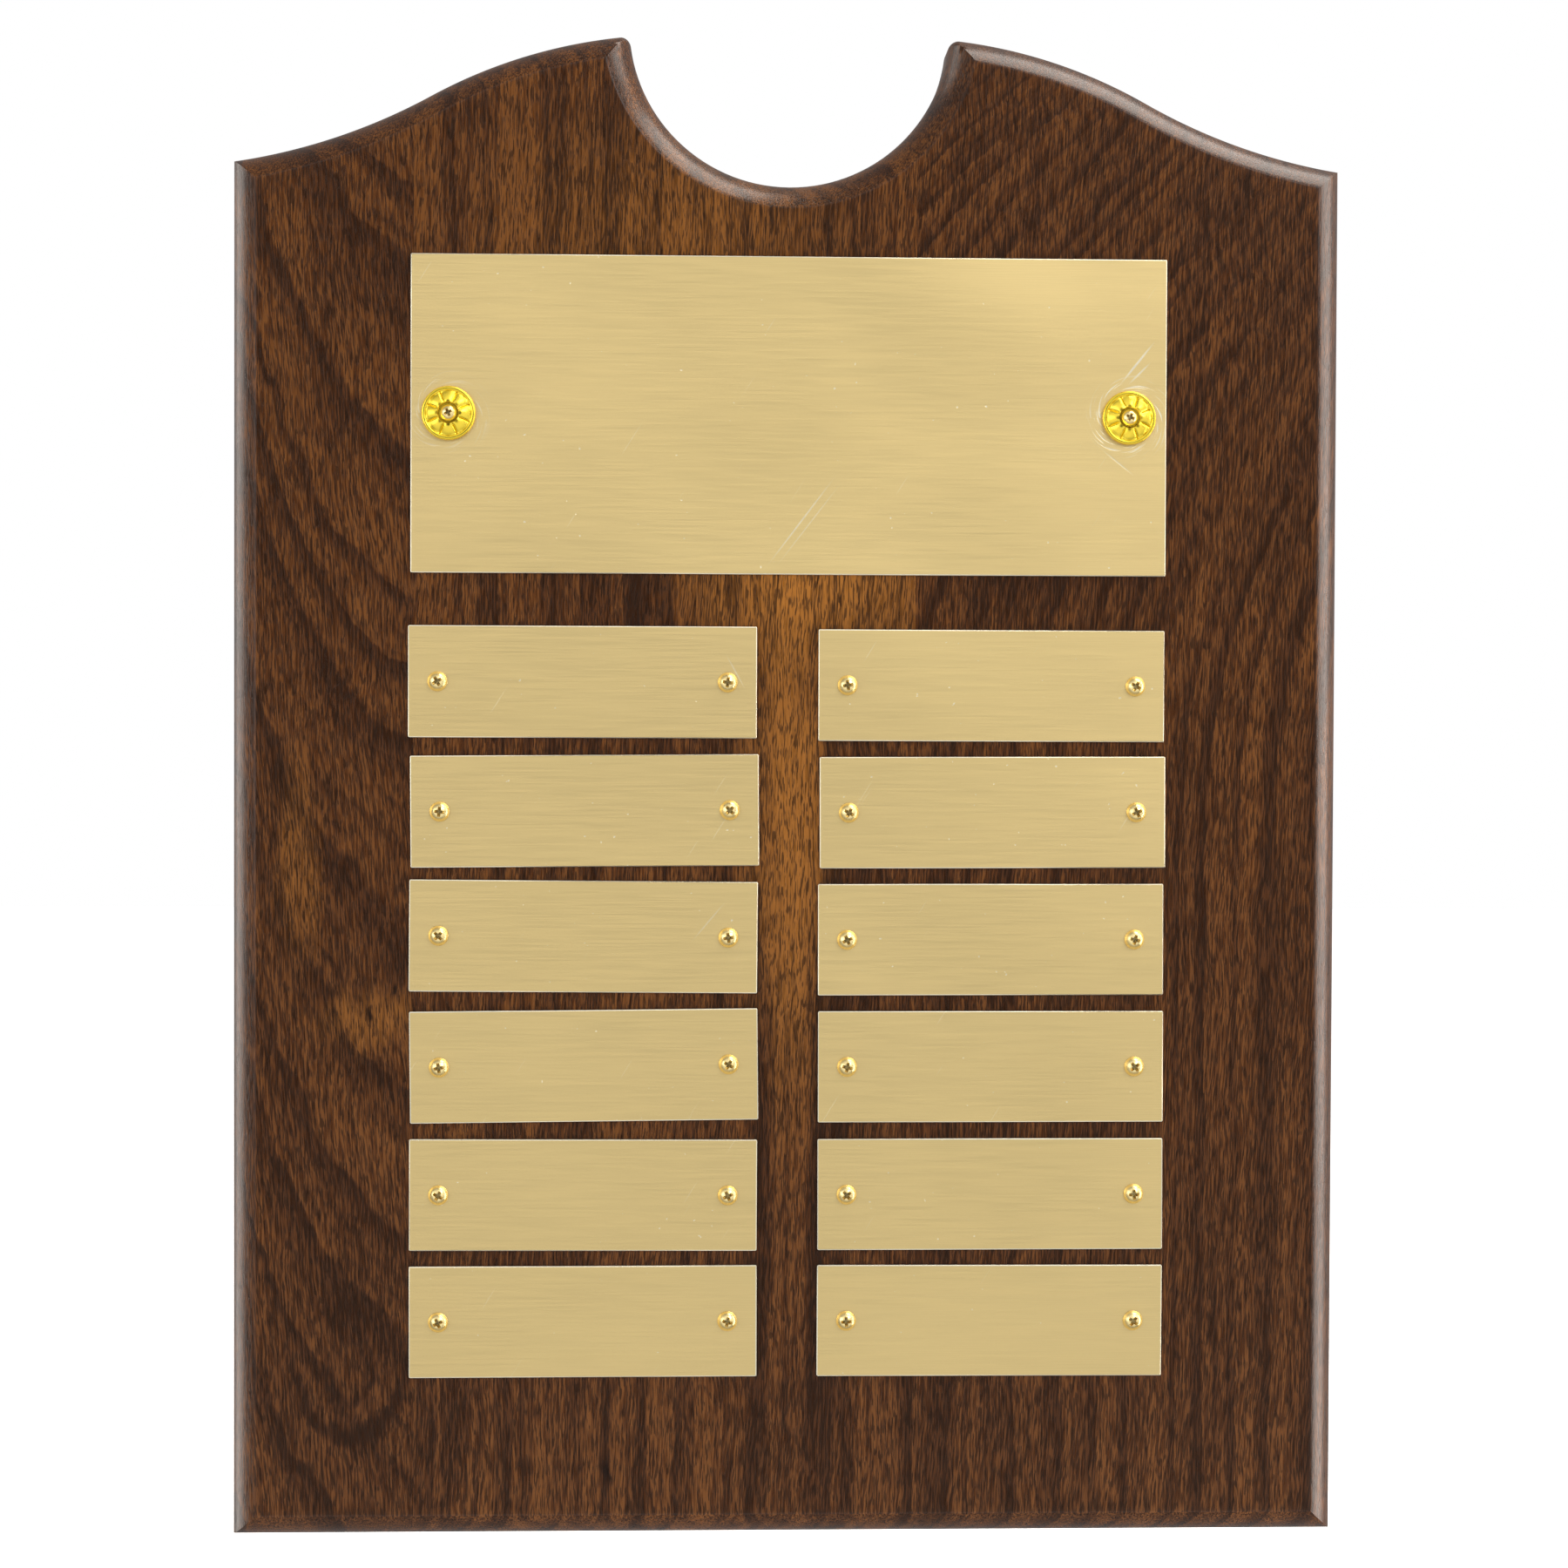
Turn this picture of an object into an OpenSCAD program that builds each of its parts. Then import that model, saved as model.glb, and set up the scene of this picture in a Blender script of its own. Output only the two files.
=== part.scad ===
// Perpetual wall plaque: a walnut panel glued up from three boards, with a
// header plate held by two rosettes and twelve screwed name plates.
//
// The plaque hangs upright. The origin is the middle of the flat back, the
// front looks along -Y, +X is to the right and +Z is up. Every part is drawn
// lying on its back, face up, and upright() stands it on its bottom edge.

/* [Panel] */
// Overall width of the panel, side to side
panel_w = 225; // [222:0.5:240]
// Overall height, from the bottom edge to the horn tips
panel_h = 304.8; // [295:0.1:330]
// Thickness of the boards
panel_t = 19; // [16:0.5:25]
// Distance of the left glue joint from the centre line
left_joint_x = 75.4; // [72.5:0.1:79]
// Distance of the right glue joint from the centre line
right_joint_x = 25.5; // [16:0.1:36]

/* [Top outline] */
// Radius of the round notch between the horns
notch_r = 32.6; // [31:0.1:34]
// Height of the notch's centre above the turning point of the shoulders
notch_rise = 14.9; // [14:0.1:16]
// Radius that rounds each horn's tip
horn_r = 2; // [1.5:0.1:3]
// Radius of the hollow outer half of each shoulder
hollow_r = 120; // [115:1:130]
// Radius of the full inner half of each shoulder
swell_r = 103; // [100:1:110]
// Distance from the centre line at which hollow turns to swell
turn_x = 72.8; // [71.5:0.1:74]
// Slope of the shoulder at that turning point, in degrees
turn_slope = 29; // [28:0.5:30]

/* [Routed edge] */
// Radius of the round-over cutter
edge_r = 12.7; // [11:0.1:14]
// Depth of the round-over below the face
edge_depth = 10.5; // [9:0.1:10.8]

/* [Keyhole hanger] */
// Height of the round entry hole above the middle of the back
keyhole_z = 82; // [40:1:90]
// Diameter of the entry hole and of the channel behind the lip
keyhole_d = 10; // [8:0.1:12]
// Width of the narrow neck that the screw's shank runs in
neck_w = 5; // [4.6:0.1:6]
// Travel from the entry hole up to the top of the neck
keyhole_travel = 14; // [11:0.5:20]
// Thickness of the lip that the screw head hooks behind
lip_t = 4; // [3:0.1:5]
// Depth of the channel behind the lip
channel_t = 5; // [4.5:0.1:5.5]

/* [Brass plates] */
// Thickness of the brass sheet
sheet_t = 0.6; // [0.5:0.1:1]
// Corner radius of every plate
corner_r = 0.3; // [0.3:0.1:1]
// Width of the header plate
header_w = 152; // [148:0.5:156]
// Height of the header plate
header_h = 63.8; // [58:0.1:66]
// Height of the header plate's centre above the bottom edge
header_z = 227.4; // [226:0.1:229]
// Width of a name plate
name_w = 70; // [66:0.5:72]
// Height of a name plate
name_h = 22.5; // [18:0.1:24]
// Gap between the two columns of name plates
column_gap = 12.2; // [9:0.1:15]
// Distance from one row of name plates to the next
row_pitch = 25.75; // [25.2:0.05:27]
// Height of the top row's centre above the bottom edge
first_row_z = 173.6; // [172:0.1:176]

/* [Hand fitting of the name plates, top row to bottom row] */
// How far each left plate sits to the right of its place
left_shift = [-0.35, 0.15, -0.05, 0.1, 0, 0];
// How far each left plate sits above its place
left_lift = [0.15, 0, 0.45, 0.15, -0.2, 0];
// Turn of each left plate in degrees
left_turn = [0, 0.45, -0.3, 0.65, -0.1, 0.1];
// How far each right plate sits to the right of its place
right_shift = [-0.2, 0.15, -0.1, 0, 0, 0];
// How far each right plate sits above its place
right_lift = [-0.3, -0.1, -0.05, 0, -0.1, 0];
// Turn of each right plate in degrees
right_turn = [0, 0.25, 0.15, 0.1, 0.1, -0.1];

/* [Screws and rosettes] */
// Distance of each screw from the end of its name plate
screw_inset = 5.9; // [4.5:0.1:8]
// Diameter of a name plate screw's round head
head_d = 4; // [3.6:0.1:4.4]
// Height of a name plate screw's head
head_h = 1.5; // [1.3:0.1:1.7]
// Diameter of every screw's shank
shank_d = 2.2; // [2:0.1:2.4]
// Length of every screw below its head
shank_l = 9.5; // [8:0.5:10]
// Distance of each rosette's centre from the end of the header plate
rosette_inset = 7.6; // [6.5:0.1:9]
// Diameter over a rosette's rim
rosette_d = 10.8; // [10.5:0.1:11.2]
// Height of a rosette's dome above the header plate
rosette_h = 2.1; // [1.9:0.1:2.4]
// Number of petals pressed into a rosette
petals = 8; // [6:1:12]
// Diameter of a rosette screw's head
small_head_d = 3.4; // [3:0.1:3.6]

/* [Hidden] */
$fn = 96;
rows = 6;
half_w = panel_w / 2;
half_h = panel_h / 2;
past = 1; // how far a cutter runs past the face that it opens

// The shoulders and the notch, first measured from the turning point's level.
swell_x = turn_x - swell_r * sin(turn_slope);
swell_y0 = -swell_r * cos(turn_slope);
hollow_x = turn_x + hollow_r * sin(turn_slope);
hollow_y0 = hollow_r * cos(turn_slope);
// A horn's tip is rounded by a circle that touches the notch and the swell,
// so its centre is where two circles about their centres cross.
tip_to_notch = notch_r + horn_r;
tip_to_swell = swell_r - horn_r;
span = [swell_x, swell_y0 - notch_rise];
span_l = norm(span);
along = (tip_to_notch ^ 2 - tip_to_swell ^ 2 + span_l ^ 2) / (2 * span_l);
across = sqrt(tip_to_notch ^ 2 - along ^ 2);
tip_x = (span.x * along - span.y * across) / span_l;
tip_y0 = notch_rise + (span.y * along + span.x * across) / span_l;
// The same points from the middle of the panel, with the tips at its top.
turn_y = half_h - horn_r - tip_y0;
swell_y = turn_y + swell_y0;
hollow_y = turn_y + hollow_y0;
notch_y = turn_y + notch_rise;
tip = [tip_x, turn_y + tip_y0];
to_notch = atan2(notch_y - tip.y, -tip.x);
from_swell = atan2(tip.y - swell_y, tip.x - swell_x);

edge_z = panel_t - edge_depth;
swell_sag = 10; // more than the swell falls below a straight line
name_x = (name_w + column_gap) / 2;
hole_x = name_w / 2 - screw_inset;
pilot_h = shank_l - sheet_t;
hole_d = shank_d + 0.2;
// The rosette: its rim, dome and dimple, and the grooves between its petals.
rim_r = 0.45;
base_r = rosette_d / 2 - rim_r;
dome_r = (base_r ^ 2 + rosette_h ^ 2) / (2 * rosette_h);
dimple_r = small_head_d / 2 + 0.2;
seat_z = 0.6;
seat_t = 0.4;
groove_d = 0.7;
groove_lift = 0.25;
rosette_pilot = shank_l - seat_z - seat_t - sheet_t;
plate_z = panel_t + sheet_t;
walnut = "#5B3A22";
brass = "#D6BE7E";
bright_brass = "#DDB945";

function row_y(row) = first_row_z - half_h - row * row_pitch;
function place(side, row) = side < 0
  ? [-name_x + left_shift[row], row_y(row) + left_lift[row]]
  : [name_x + right_shift[row], row_y(row) + right_lift[row]];
function turn(side, row) = side < 0 ? left_turn[row] : right_turn[row];
function dome_z(r) = rosette_h - dome_r + sqrt(dome_r ^ 2 - r ^ 2);
function rosette_x(side) = side * (header_w / 2 - rosette_inset);
// Each screw stops with its cross at an angle of its own.
function cross_turn(side, row, end) = 37 * row + 19 * end + 11 * side;

module upright() {
  rotate([90, 0, 0]) children();
}

module both_sides() {
  children();
  mirror([1, 0, 0]) children();
}

module both_sides_kept() {
  intersection() {
    children();
    mirror([1, 0, 0]) children();
  }
}

// ---- panel ----

// Section of the panel beside an edge: the edge is at x = 0, the wood is to
// its left as far as reach, and the back is at y = 0. It runs past both faces.
module edge_section(reach) {
  translate([-reach, -2 * past]) square([reach - edge_r, panel_t + 4 * past]);
  translate([-edge_r, -2 * past]) square([edge_r, edge_z + 2 * past]);
  intersection() {
    translate([-edge_r, edge_z]) circle(edge_r);
    translate([-edge_r, edge_z]) square([edge_r, edge_depth + 2 * past]);
  }
}

// A straight bar of wood that ends in a routed edge at the distance out.
module straight_edge(out, length) {
  translate([out, length / 2, 0])
    rotate([90, 0, 0]) linear_extrude(length) edge_section(2 * out);
}

// A disc of wood with a routed rim.
module disc(r, reach = edge_r + past) {
  rotate_extrude($fn = 360) translate([r, 0]) edge_section(reach);
}

// What a round opening with a routed rim takes off.
module opening(r) {
  rotate_extrude($fn = 180) difference() {
    translate([0, -past]) square([r + edge_r, panel_t + 2 * past]);
    translate([r, 0]) mirror([1, 0]) edge_section(edge_r + past);
  }
}

// What is taken off outside the swell, from the turning point to the horn.
module swell_waste() {
  translate([swell_x, swell_y, 0]) difference() {
    rotate([0, 0, 90 - turn_slope])
      translate([swell_r - swell_sag, 0, -past])
        cube([3 * swell_sag, 6 * swell_sag, panel_t + 2 * past]);
    disc(swell_r, swell_r);
  }
}

// What is taken off outside a horn's rounded tip. The rounded pin that stays
// is a hair too big and keeps a core, so it crosses notch and swell cleanly.
module horn_waste() {
  reach = 4 * horn_r;
  pin_r = horn_r + 0.02;
  core_r = horn_r / 5;
  translate([tip.x, tip.y, 0]) difference() {
    translate([0, 0, -past]) linear_extrude(panel_t + 2 * past)
      polygon([
        [0, 0],
        reach * [cos(to_notch), sin(to_notch)],
        reach * [cos(to_notch) + cos(from_swell), sin(to_notch) + sin(from_swell)],
        reach * [cos(from_swell), sin(from_swell)]
      ]);
    rotate_extrude() {
      intersection() {
        translate([0, -2 * past]) square([pin_r, panel_t + 4 * past]);
        translate([pin_r, 0]) edge_section(2 * edge_r);
      }
      translate([0, -2 * past]) square([core_r, panel_t + 4 * past]);
    }
  }
}

module keyhole_cut(width, from, depth) {
  translate([0, keyhole_z, from]) {
    translate([-width / 2, 0, 0]) cube([width, keyhole_travel, depth]);
    translate([0, keyhole_travel, 0]) cylinder(d = width, h = depth);
  }
}

module keyhole() {
  translate([0, keyhole_z, -past])
    cylinder(d = keyhole_d, h = lip_t + channel_t + past);
  keyhole_cut(neck_w, -past, lip_t + 2 * past);
  keyhole_cut(keyhole_d, lip_t, channel_t);
}

module pilot_holes() {
  for (side = [-1, 1]) {
    for (row = [0:rows - 1], end = [-1, 1])
      at_screw(side, row, end)
        translate([0, 0, -pilot_h]) cylinder(d = shank_d, h = pilot_h + past);
    translate([rosette_x(side), header_z - half_h, panel_t - rosette_pilot])
      cylinder(d = shank_d, h = rosette_pilot + past);
  }
}

// One board of the panel, between two upright glue lines.
module board(from, to) {
  color(walnut) upright() difference() {
    intersection() {
      translate([from, -panel_h, 0]) cube([to - from, panel_h + half_h, panel_t]);
      both_sides_kept() straight_edge(half_w, 2 * panel_h);
      rotate([0, 0, -90]) straight_edge(half_h, 2 * panel_w);
    }
    both_sides() {
      translate([hollow_x, hollow_y, 0]) opening(hollow_r);
      swell_waste();
      horn_waste();
    }
    translate([0, notch_y, 0]) opening(notch_r);
    keyhole();
    pilot_holes();
  }
}

module board_left() { board(-panel_w, -left_joint_x); }
module board_centre() { board(-left_joint_x, right_joint_x); }
module board_right() { board(right_joint_x, panel_w); }

// ---- brass plates ----

module plate_outline(w, h) {
  square([w - 2 * corner_r, h], center = true);
  square([w, h - 2 * corner_r], center = true);
  for (x = [-1, 1], y = [-1, 1])
    translate([x * (w / 2 - corner_r), y * (h / 2 - corner_r)]) circle(corner_r);
}

module plate(w, h, inset) {
  color(brass) difference() {
    linear_extrude(sheet_t) plate_outline(w, h);
    for (end = [-1, 1])
      translate([end * (w / 2 - inset), 0, -past]) cylinder(d = hole_d, h = sheet_t + 2 * past);
  }
}

module header_plate() {
  upright() translate([0, header_z - half_h, panel_t]) plate(header_w, header_h, rosette_inset);
}

module at_plate(side, row) {
  translate([place(side, row).x, place(side, row).y, panel_t])
    rotate([0, 0, turn(side, row)]) children();
}

module at_screw(side, row, end) {
  at_plate(side, row) translate([end * hole_x, 0, 0]) children();
}

module name_plate(side, row) {
  upright() at_plate(side, row) plate(name_w, name_h, screw_inset);
}

// ---- screws ----

// A round-headed wood screw with a cross recess, seated at z = 0.
module screw(d, h) {
  cap_r = (d ^ 2 / 4 + h ^ 2) / (2 * h);
  recess_d = 0.55 * d;
  recess_h = 0.6 * h;
  slot_w = 0.15 * d;
  difference() {
    intersection() {
      translate([0, 0, h - cap_r]) sphere(cap_r);
      cylinder(d = d, h = h);
    }
    intersection() {
      for (a = [0, 90])
        rotate([0, 0, a])
          translate([-recess_d / 2, -slot_w / 2, h - recess_h]) cube([recess_d, slot_w, h]);
      translate([0, 0, h - recess_h]) cylinder(d1 = slot_w, d2 = recess_d, h = recess_h);
    }
  }
  translate([0, 0, -shank_l]) {
    translate([0, 0, shank_d]) cylinder(d = shank_d, h = shank_l - shank_d);
    cylinder(d1 = 0.4, d2 = shank_d, h = shank_d);
  }
}

module column_screws(side) {
  color(bright_brass) upright()
    for (row = [0:rows - 1], end = [-1, 1])
      at_screw(side, row, end) translate([0, 0, sheet_t])
        rotate([0, 0, cross_turn(side, row, end)]) screw(head_d, head_h);
}

module rosette_screws() {
  color(bright_brass) upright()
    for (side = [-1, 1])
      translate([rosette_x(side), header_z - half_h, plate_z + seat_z + seat_t])
        rotate([0, 0, 25 * side]) screw(small_head_d, 0.35 * small_head_d);
}

// ---- rosettes ----

// Half section of the pressed dome: a rolled rim, a dome of even thickness
// and a dimple in the middle that the screw's head sits in.
module rosette_section() {
  translate([base_r, rim_r]) circle(rim_r, $fn = 32);
  difference() {
    intersection() {
      translate([0, rosette_h - dome_r]) circle(dome_r);
      translate([dimple_r, 0]) square([base_r - dimple_r, rosette_h]);
    }
    translate([0, rosette_h - dome_r]) circle(dome_r - seat_t);
  }
  translate([dimple_r, seat_z]) square([seat_t, rosette_h - seat_z - 0.4]);
  translate([hole_d / 2, seat_z]) square([dimple_r + seat_t - hole_d / 2, seat_t]);
}

// The groove between two petals, along the dome from dimple to rim.
module petal_groove() {
  from = dimple_r + seat_t;
  to = base_r;
  fall = atan2(dome_z(from) - dome_z(to), to - from);
  translate([from, 0, dome_z(from)]) rotate([0, 90 + fall, 0])
    translate([-groove_lift, 0, 0]) cylinder(d = groove_d, h = norm([to - from, dome_z(from)]));
}

module rosette(side) {
  color(bright_brass) upright()
    translate([rosette_x(side), header_z - half_h, plate_z]) difference() {
      rotate_extrude() rosette_section();
      for (i = [0:petals - 1])
        rotate([0, 0, (i + 0.5) * 360 / petals]) petal_groove();
    }
}

module rosette_left() { rosette(-1); }
module rosette_right() { rosette(1); }

board_left();
board_centre();
board_right();
header_plate();
name_plate(-1, 0);  // name_plate_left_1
name_plate(-1, 1);  // name_plate_left_2
name_plate(-1, 2);  // name_plate_left_3
name_plate(-1, 3);  // name_plate_left_4
name_plate(-1, 4);  // name_plate_left_5
name_plate(-1, 5);  // name_plate_left_6
name_plate(1, 0);  // name_plate_right_1
name_plate(1, 1);  // name_plate_right_2
name_plate(1, 2);  // name_plate_right_3
name_plate(1, 3);  // name_plate_right_4
name_plate(1, 4);  // name_plate_right_5
name_plate(1, 5);  // name_plate_right_6
column_screws(-1);  // left_column_screws
column_screws(1);  // right_column_screws
rosette_left();
rosette_right();
rosette_screws();
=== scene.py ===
"""Walnut wall plaque with brass plates, screws and rosettes: the finished looks.

The panel stands upright with its back at y = 0 and its face towards -Y. Every
piece is made in place, in metres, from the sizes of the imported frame.
"""

from math import acos, asin, atan2, cos, hypot, pi, radians, sin, sqrt

import bmesh
import bpy
from mathutils import Euler, Matrix, Vector


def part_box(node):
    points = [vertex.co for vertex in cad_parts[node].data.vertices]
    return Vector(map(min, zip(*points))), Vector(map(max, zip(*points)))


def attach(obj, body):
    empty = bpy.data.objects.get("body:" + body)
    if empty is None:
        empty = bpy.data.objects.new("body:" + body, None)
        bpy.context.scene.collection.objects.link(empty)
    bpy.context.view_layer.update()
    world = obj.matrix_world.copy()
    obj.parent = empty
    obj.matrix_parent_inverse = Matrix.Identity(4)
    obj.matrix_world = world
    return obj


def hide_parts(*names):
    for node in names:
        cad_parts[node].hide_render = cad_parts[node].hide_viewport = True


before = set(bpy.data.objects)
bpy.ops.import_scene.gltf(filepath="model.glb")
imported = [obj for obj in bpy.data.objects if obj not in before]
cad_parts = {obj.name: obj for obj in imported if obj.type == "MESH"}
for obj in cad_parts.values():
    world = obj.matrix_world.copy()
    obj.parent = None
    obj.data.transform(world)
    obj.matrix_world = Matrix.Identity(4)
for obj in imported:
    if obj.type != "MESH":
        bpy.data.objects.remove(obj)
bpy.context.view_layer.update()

bl_info = {
    "name": "Walnut Wall Plaque",
    "version": (1, 0, 0),
    "blender": (4, 5, 0),
    "location": "View3D > Sidebar > Plaque",
    "description": "Builds the boards, brass plates, screws and rosettes of a wall plaque",
    "category": "Add Mesh",
}

MM = 0.001
ROWS = 6
COLUMNS = ("left", "right")
BOARDS = ("left", "centre", "right")
PANEL_LOW = Vector((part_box("board_left")[0].x, 0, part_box("board_left")[0].z))
PANEL_HIGH = Vector((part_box("board_right")[1].x, 0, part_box("board_centre")[1].z))
PANEL_T = -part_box("board_centre")[0].y
LEFT_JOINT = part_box("board_left")[1].x
RIGHT_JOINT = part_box("board_right")[0].x
HEADER_LOW, HEADER_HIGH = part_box("header_plate")
SHEET_T = HEADER_HIGH.y - HEADER_LOW.y
ROSETTE_LOW, ROSETTE_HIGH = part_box("rosette_left")
SCREWS_LOW, SCREWS_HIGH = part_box("left_column_screws")

# Kinds of node and settings that come up again and again.
MATH, VECTOR, RANGE, MIX, NOISE = ("ShaderNode" + kind for kind in (
    "Math", "VectorMath", "MapRange", "Mix", "TexNoise"))
SMOOTH = {"interpolation_type": "SMOOTHSTEP"}
AS_COLOUR = {"data_type": "RGBA", "out": 2}

# How the wood is drawn: how far a ring leans per millimetre of thickness, where in a ring
# its dark line ends, the fine rings' spacing as a share of the wide ones', and the weight
# of slow clouds.
DEPTH_SLOPE, LATE_END, FINE_RINGS, CLOUDS = 0.6, 0.93, 0.31, 0.6
# How much of its light a brush mark keeps.
BRUSH_DIM = 0.955
# Colours of small details, of the wear and painted glints on the sheet brass, of the painted
# shade in brass creases and of the lamps beside the panel.
PORE, KNOT, WEAR_AND_GLINT = "#1F1107", "#170C06", "#FFFAE6"
PRESSED_CREASE_SHADE, TURNED_CREASE_SHADE = "#6E4412", "#5E3C10"
EDGE_WARMTH = (1.0, 0.93, 0.86)


# ---- sizes and colours that a user would change ----

def length(name, description, millimetres, precision=4):
    return bpy.props.FloatProperty(name=name, description=description,
                                   default=millimetres * MM, unit="LENGTH",
                                   precision=precision)


def tint(name, description, default):
    return bpy.props.StringProperty(name=name, description=f"{description}, sRGB hex",
                                    default=default)


class PlaquePanelSizes(bpy.types.PropertyGroup):
    notch_r: length("Notch Radius", "Radius of the round notch between the horns", 32.6)
    notch_rise: length("Notch Rise", "Height of the notch's centre above the turning point", 14.9)
    horn_r: length("Horn Radius", "Radius that rounds each horn's tip", 2)
    hollow_r: length("Hollow Radius", "Radius of the hollow outer half of each shoulder", 120)
    swell_r: length("Swell Radius", "Radius of the full inner half of each shoulder", 103)
    turn_x: length("Turning Point", "Where hollow turns to swell, from the centre line", 72.8)
    turn_slope: bpy.props.FloatProperty(
        name="Turning Slope", description="Slope of the shoulder at the turning point",
        default=radians(29), unit="ROTATION")
    edge_r: length("Edge Radius", "Radius of the round-over cutter", 12.7)
    edge_depth: length("Edge Depth", "Depth of the round-over below the face", 10.5)
    keyhole_z: length("Keyhole Height", "Height of the entry hole above the middle", 82)
    keyhole_d: length("Keyhole Diameter", "Diameter of the entry hole and the channel", 10)
    keyhole_neck: length("Keyhole Neck", "Width of the neck that the wall screw runs in", 5)
    keyhole_travel: length(
        "Keyhole Travel", "Travel from the entry hole to the top of the neck", 14)
    lip_t: length("Lip", "Thickness of the lip that the wall screw's head hooks behind", 4)
    channel_t: length("Channel", "Depth of the channel behind the lip", 5)


class PlaqueBrassSizes(bpy.types.PropertyGroup):
    name_w: length("Name Plate Width", "Width of a name plate", 70)
    name_h: length("Name Plate Height", "Height of a name plate", 22.5)
    corner_r: length("Corner Radius", "Corner radius of every plate", 0.3)
    left_turns: bpy.props.FloatVectorProperty(
        name="Left Turns", description="Turn of each left name plate, top to bottom",
        size=ROWS, default=[radians(a) for a in (0, 0.45, -0.3, 0.65, -0.1, 0.1)])
    right_turns: bpy.props.FloatVectorProperty(
        name="Right Turns", description="Turn of each right name plate, top to bottom",
        size=ROWS, default=[radians(a) for a in (0, 0.25, 0.15, 0.1, 0.1, -0.1)])
    screw_inset: length("Screw Inset", "Distance of each screw from its name plate's end", 5.9)
    head_d: length("Screw Head", "Diameter of a name plate screw's head", 4)
    small_head_d: length("Rosette Screw Head", "Diameter of a rosette screw's head", 3.4)
    shank_d: length("Screw Shank", "Diameter of every screw's shank", 2.2)
    shank_l: length("Shank Length", "Length of every screw below its head", 9.5)
    petals: bpy.props.IntProperty(
        name="Petals", description="Number of petals pressed into a rosette", default=8)
    groove_depth: length(
        "Groove Depth", "Depth of the grooves between the petals", 0.42, precision=5)


class PlaqueColours(bpy.types.PropertyGroup):
    walnut_dark: tint("Dark Walnut", "Late wood and dark streaks", "#291507")
    walnut_mid: tint("Walnut", "The walnut's middle tone", "#43250F")
    walnut_light: tint("Light Walnut", "Early wood between the rings", "#613A18")
    # The colour of the painted sheen: a warm glow of light in the figure, painted into the wood.
    walnut_painted_sheen: tint("Honey Walnut", "The warm flame in the middle board", "#8E5A22")
    sheet_brass: tint("Sheet Brass", "Brushed sheet brass", "#FBE1A0")
    bright_brass: tint("Bright Brass", "Pressed and polished brass", "#FADC4A")
    screw_brass: tint("Screw Brass", "Turned brass of the screws", "#F6DF9E")


class PlaqueStage(bpy.types.PropertyGroup):
    camera_at: bpy.props.FloatVectorProperty(
        name="Camera", description="Where the camera stands",
        default=(-0.02305, -0.640, 0.0126), subtype="TRANSLATION", unit="LENGTH")
    camera_turn: bpy.props.FloatVectorProperty(
        name="Camera Turn", description="Turn of the camera from looking straight along +Y",
        default=(radians(1.08), radians(0.18), radians(2.04)), subtype="EULER", unit="ROTATION")
    camera_lens: bpy.props.FloatProperty(
        name="Lens", description="Focal length in millimetres on a 36 mm sensor", default=70.8)
    key: bpy.props.FloatProperty(
        name="Key Light", description="Power of the soft light at the upper right",
        default=4.5, unit="POWER")
    fill: bpy.props.FloatProperty(
        name="Fill Light", description="Power of the soft light at the left",
        default=2, unit="POWER")
    edges: bpy.props.FloatProperty(
        name="Edge Lights", description="Power of the soft lights beside and above the panel",
        default=9, unit="POWER")


# ---- small tools ----

def linear(hex_colour):
    """An sRGB hex colour as linear red, green, blue and alpha."""
    parts = [int(hex_colour[i:i + 2], 16) / 255 for i in (1, 3, 5)]
    return [p / 12.92 if p <= 0.04045 else ((p + 0.055) / 1.055) ** 2.4 for p in parts] + [1]


def add(tree, kind, *inputs, out=0, **settings):
    """Adds a node with its settings and returns its output out, or the node itself where
    out is None. Each input is a value or the socket that feeds it: in turn, or in one
    dict by name or number."""
    made = tree.nodes.new(kind)
    for key, value in settings.items():
        setattr(made, key, value)
    by_key = inputs and isinstance(inputs[0], dict)
    for key, value in (inputs[0] if by_key else dict(enumerate(inputs))).items():
        if isinstance(value, bpy.types.NodeSocket):
            tree.links.new(value, made.inputs[key])
        else:
            made.inputs[key].default_value = value
    return made if out is None else made.outputs[out]


def new_piece(name, bm):
    """A mesh object at the origin, made from bm, with its faces pointing outwards."""
    bmesh.ops.recalc_face_normals(bm, faces=bm.faces[:])
    mesh = bpy.data.meshes.new(name)
    bm.to_mesh(mesh)
    bm.free()
    piece = bpy.data.objects.new(name, mesh)
    bpy.context.scene.collection.objects.link(piece)
    return piece


def settle(piece):
    """Turns what a piece's modifiers make into its own plain mesh."""
    graph = bpy.context.evaluated_depsgraph_get()
    mesh = bpy.data.meshes.new_from_object(piece.evaluated_get(graph), depsgraph=graph)
    mesh.name = piece.name
    piece.modifiers.clear()
    piece.data = mesh


def shade(piece, angle):
    """Smooth shading that stays crisp where faces meet at more than angle degrees."""
    piece.data.polygons.foreach_set("use_smooth", [True] * len(piece.data.polygons))
    piece.data.set_sharp_from_angle(angle=radians(angle))


def finish_piece(piece, material, slot, *nodes):
    """Gives a piece its material, hangs it under the root body and hides the frame's parts that
    it stands for.
    """
    if material:
        piece.data.materials.clear()
        piece.data.materials.append(material)
    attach(piece, "root")
    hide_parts(*nodes)


def cut(piece, cutters):
    """Cuts each cutter out of the piece. The cutters themselves stay."""
    for cutter in cutters:
        hollow = piece.modifiers.new("Cut", "BOOLEAN")
        hollow.operation = "DIFFERENCE"
        hollow.solver = "EXACT"
        hollow.object = cutter
    settle(piece)


def discard(things):
    for thing in things:
        bpy.data.objects.remove(thing)


def spread(start, end, steps):
    return [start + (end - start) * i / steps for i in range(steps + 1)]


def arc(centre, radius, start, end, steps):
    """Points on a circle, as (x, z) pairs."""
    return [(centre[0] + radius * cos(a), centre[1] + radius * sin(a))
            for a in spread(start, end, steps)]


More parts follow.
